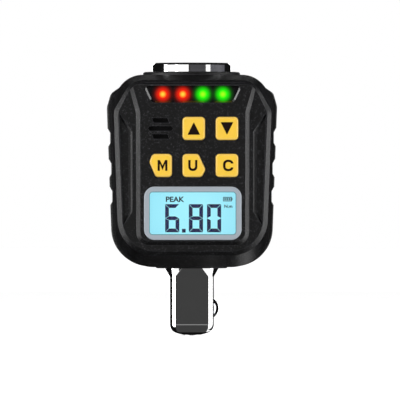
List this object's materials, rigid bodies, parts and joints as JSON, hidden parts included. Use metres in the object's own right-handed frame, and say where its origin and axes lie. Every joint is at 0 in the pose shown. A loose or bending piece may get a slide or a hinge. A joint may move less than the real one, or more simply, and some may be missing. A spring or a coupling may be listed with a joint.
{
  "type": "digital torque adapter",
  "caption": "Square drive adapter that measures torque: a chromed shaft with a female and a male square through a black housing with a lit display, indicator lamps and push keys.",
  "frame": {"origin": "centre of the small flat on the male drive's tip, on the torque axis", "axes": "+Z along the torque axis from the male square to the female square, the display faces -Y, +X to the right as the display is read"},
  "size_m": [0.0488, 0.0463, 0.0786],
  "materials": {
    "chrome_steel": "polished chrome plate on steel",
    "black_plastic": "fine grained black plastic",
    "black_rubber": "dotted black rubber",
    "grey_trim": "smooth pale grey plastic",
    "clear_window": "clear",
    "smoked_lens": "smoked gloss",
    "lcd_glass": "lit display",
    "white_diffuser": "diffuser",
    "yellow_key": "satin yellow",
    "red_lamp": "tinted lens",
    "green_lamp": "tinted lens",
    "grey_silicone": "matt",
    "circuit_board": "solder mask",
    "chip_body": "matt",
    "bright_metal": "bright",
    "bronze": "oiled",
    "gauge_film": "film",
    "wire_insulation": "insulation",
    "cell_jacket": "printed wrap without print"
  },
  "bodies": {
    "housing": {"torque_shaft": "chrome_steel", "detent_spring": "bright_metal", "strain_gauges": "gauge_film", "gauge_wires": "wire_insulation", "lower_bush": "bronze", "retaining_ring": "bright_metal", "lower_seal": "black_rubber", "upper_seal": "black_rubber", "locating_pin": "bright_metal", "front_shell": "black_plastic", "rear_shell": "black_plastic", "right_grip": "black_rubber", "left_grip": "black_rubber", "shell_gasket": "grey_silicone", "case_screws": "bright_metal", "display_bezel": "grey_trim", "display_window": "clear_window", "lcd_panel": "lcd_glass", "lcd_backlight": "white_diffuser", "contact_strips": "grey_silicone", "indicator_window": "smoked_lens", "red_lamps": "red_lamp", "green_lamps": "green_lamp", "keypad_mat": "grey_silicone", "main_board": "circuit_board", "controller_chip": "chip_body", "amplifier_chip": "chip_body", "key_domes": "bright_metal", "sounder": "chip_body", "board_screws": "bright_metal", "left_cell": "cell_jacket", "right_cell": "cell_jacket", "cell_springs": "bright_metal", "contact_plates": "bright_metal", "battery_wires": "wire_insulation", "cover_seal": "grey_silicone"},
    "detent": {"detent_ball": "bright_metal"},
    "battery_door": {"battery_cover": "black_plastic", "cover_screws": "bright_metal"},
    "up_button": {"up_key": "yellow_key"},
    "down_button": {"down_key": "yellow_key"},
    "mode_button": {"mode_key": "yellow_key"},
    "unit_button": {"unit_key": "yellow_key"},
    "clear_button": {"clear_key": "yellow_key"}
  },
  "joints": [
    {"name": "up_press", "type": "slide", "parent": "housing", "child": "up_button", "axis": [0, 1, 0], "range_m": [0, 0.0006], "stiffness_N_per_m": 1500, "springref_m": -0.0008},
    {"name": "down_press", "type": "slide", "parent": "housing", "child": "down_button", "axis": [0, 1, 0], "range_m": [0, 0.0006], "stiffness_N_per_m": 1500, "springref_m": -0.0008},
    {"name": "mode_press", "type": "slide", "parent": "housing", "child": "mode_button", "axis": [0, 1, 0], "range_m": [0, 0.0006], "stiffness_N_per_m": 1500, "springref_m": -0.0008},
    {"name": "unit_press", "type": "slide", "parent": "housing", "child": "unit_button", "axis": [0, 1, 0], "range_m": [0, 0.0006], "stiffness_N_per_m": 1500, "springref_m": -0.0008},
    {"name": "clear_press", "type": "slide", "parent": "housing", "child": "clear_button", "axis": [0, 1, 0], "range_m": [0, 0.0006], "stiffness_N_per_m": 1500, "springref_m": -0.0008},
    {"name": "detent_push", "type": "slide", "parent": "housing", "child": "detent", "axis": [-1, 0, 0], "range_m": [0, 0.0013], "stiffness_N_per_m": 4000, "springref_m": -0.002, "deforming": ["detent_spring"]},
    {"name": "battery_cover_pull", "type": "slide", "parent": "housing", "child": "battery_door", "axis": [0, 1, 0], "range_m": [0, 0.025]}
  ]
}
